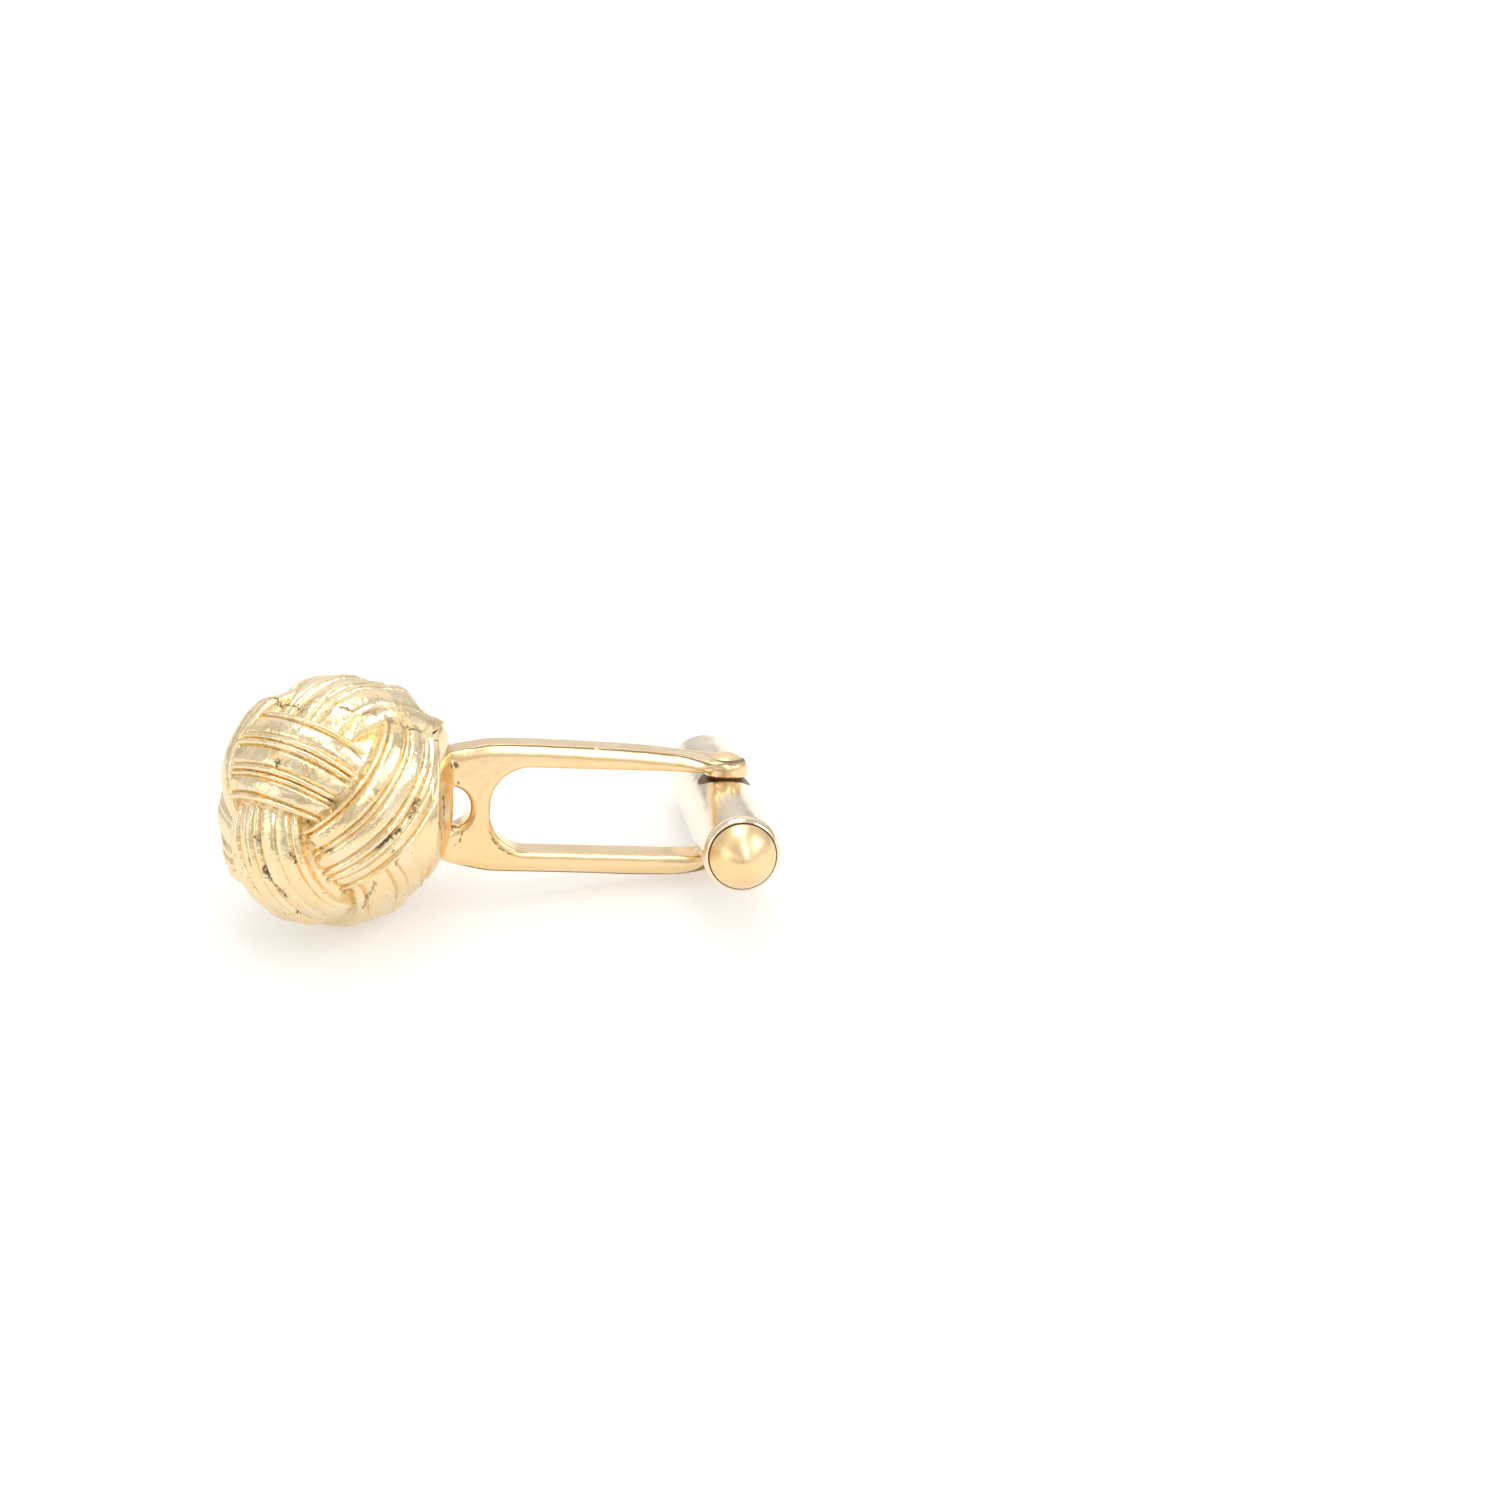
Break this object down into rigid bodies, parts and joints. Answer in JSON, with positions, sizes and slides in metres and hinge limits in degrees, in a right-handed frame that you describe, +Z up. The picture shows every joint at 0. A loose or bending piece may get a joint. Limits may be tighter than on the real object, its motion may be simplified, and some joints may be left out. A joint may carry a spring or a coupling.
{
  "type": "knot cufflink",
  "caption": "Swivel-bar cufflink: a cast ball woven from ribbed bands, a domed back, a slotted fork and a bullet-ended bar that turns on a pin.",
  "frame": {"origin": "middle of the bounding box's underside, on the surface that the cufflink lies on", "axes": "+X from the knot towards the bar, +Y towards the bar's back end, which touches the surface, +Z up"},
  "size_m": [0.0288, 0.0198, 0.0131],
  "materials": {
    "cast_gold": "satin",
    "polished_gold": "polished"
  },
  "bodies": {
    "link": {"knot_head_and_fork": "cast_gold", "pivot_pin": "polished_gold"},
    "toggle": {"bar_tube": "polished_gold", "end_cap_front": "polished_gold", "end_cap_back": "polished_gold"}
  },
  "joints": [
    {"name": "toggle_turn", "type": "hinge", "parent": "link", "child": "toggle", "pos_m": [0.01216, 0, 0.00339], "axis": [0.157, 0.1772, 0.9716], "continuous": true}
  ]
}
